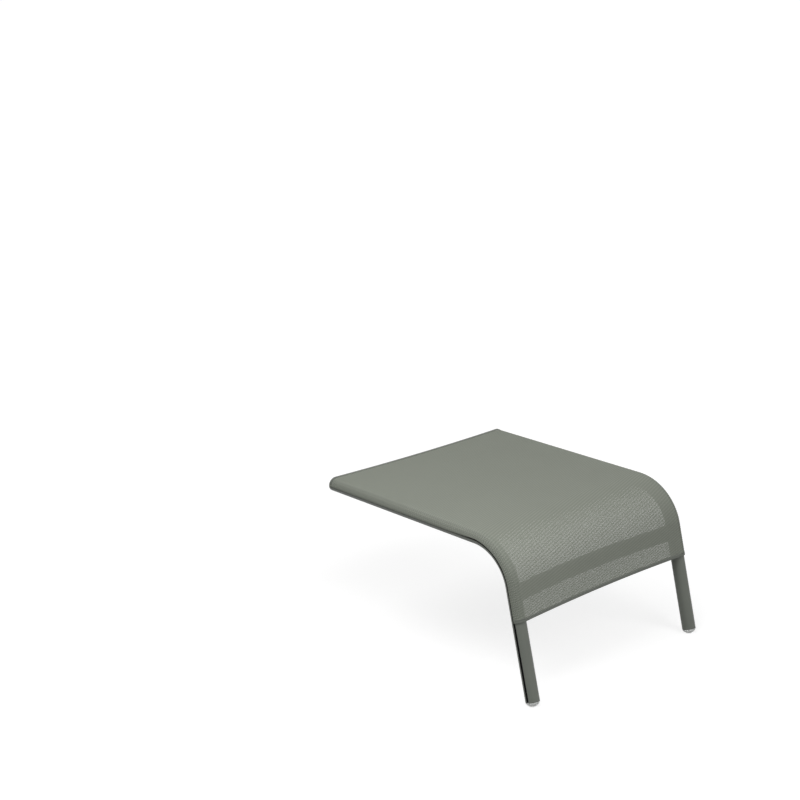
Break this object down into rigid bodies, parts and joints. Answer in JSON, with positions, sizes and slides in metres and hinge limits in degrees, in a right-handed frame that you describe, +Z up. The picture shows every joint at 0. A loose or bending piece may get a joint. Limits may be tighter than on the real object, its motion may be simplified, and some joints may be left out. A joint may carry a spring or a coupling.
{
  "type": "outdoor ottoman footstool",
  "caption": "Outdoor footrest: a taut mesh sling between bent tube rails that form the front legs, joined by bowed crossbars, with hooks at the rear for a bar of a low chair.",
  "frame": {"origin": "on the floor, in the middle of the whole footrest's length and width", "axes": "+Z up, +Y to the rear where the hooks are, +X to the right for someone who stands in front of the legs and faces the chair, so the left rail lies at -X"},
  "size_m": [0.553, 0.6426, 0.3355],
  "materials": {
    "frame_paint": "satin powder coat in grey-green over aluminium tube",
    "sling_mesh": "open woven coated-yarn mesh, sage grey, matte",
    "cord_plastic": "extruded plastic cord",
    "pale_plastic": "pale translucent moulded plastic",
    "dark_plastic": "dark moulded plastic",
    "screw_steel": "stainless steel"
  },
  "bodies": {
    "root": {"front_crossbar": "frame_paint", "rear_crossbar": "frame_paint", "sling": "sling_mesh", "left_rail": "frame_paint", "right_rail": "frame_paint", "left_front_weld": "frame_paint", "right_front_weld": "frame_paint", "left_rear_weld": "frame_paint", "right_rear_weld": "frame_paint", "left_keder_cord": "cord_plastic", "right_keder_cord": "cord_plastic", "left_rear_plug": "dark_plastic", "right_rear_plug": "dark_plastic", "left_foot_glide": "pale_plastic", "right_foot_glide": "pale_plastic", "left_keder_stop": "dark_plastic", "right_keder_stop": "dark_plastic", "left_stop_screw": "screw_steel", "right_stop_screw": "screw_steel", "left_hook_bracket": "frame_paint", "right_hook_bracket": "frame_paint", "left_hook_liner": "dark_plastic", "right_hook_liner": "dark_plastic", "left_top_hook_screw": "screw_steel", "right_top_hook_screw": "screw_steel", "left_front_hook_screw": "screw_steel", "right_front_hook_screw": "screw_steel", "left_top_insert": "screw_steel", "right_top_insert": "screw_steel", "left_front_insert": "screw_steel", "right_front_insert": "screw_steel"}
  },
  "joints": []
}
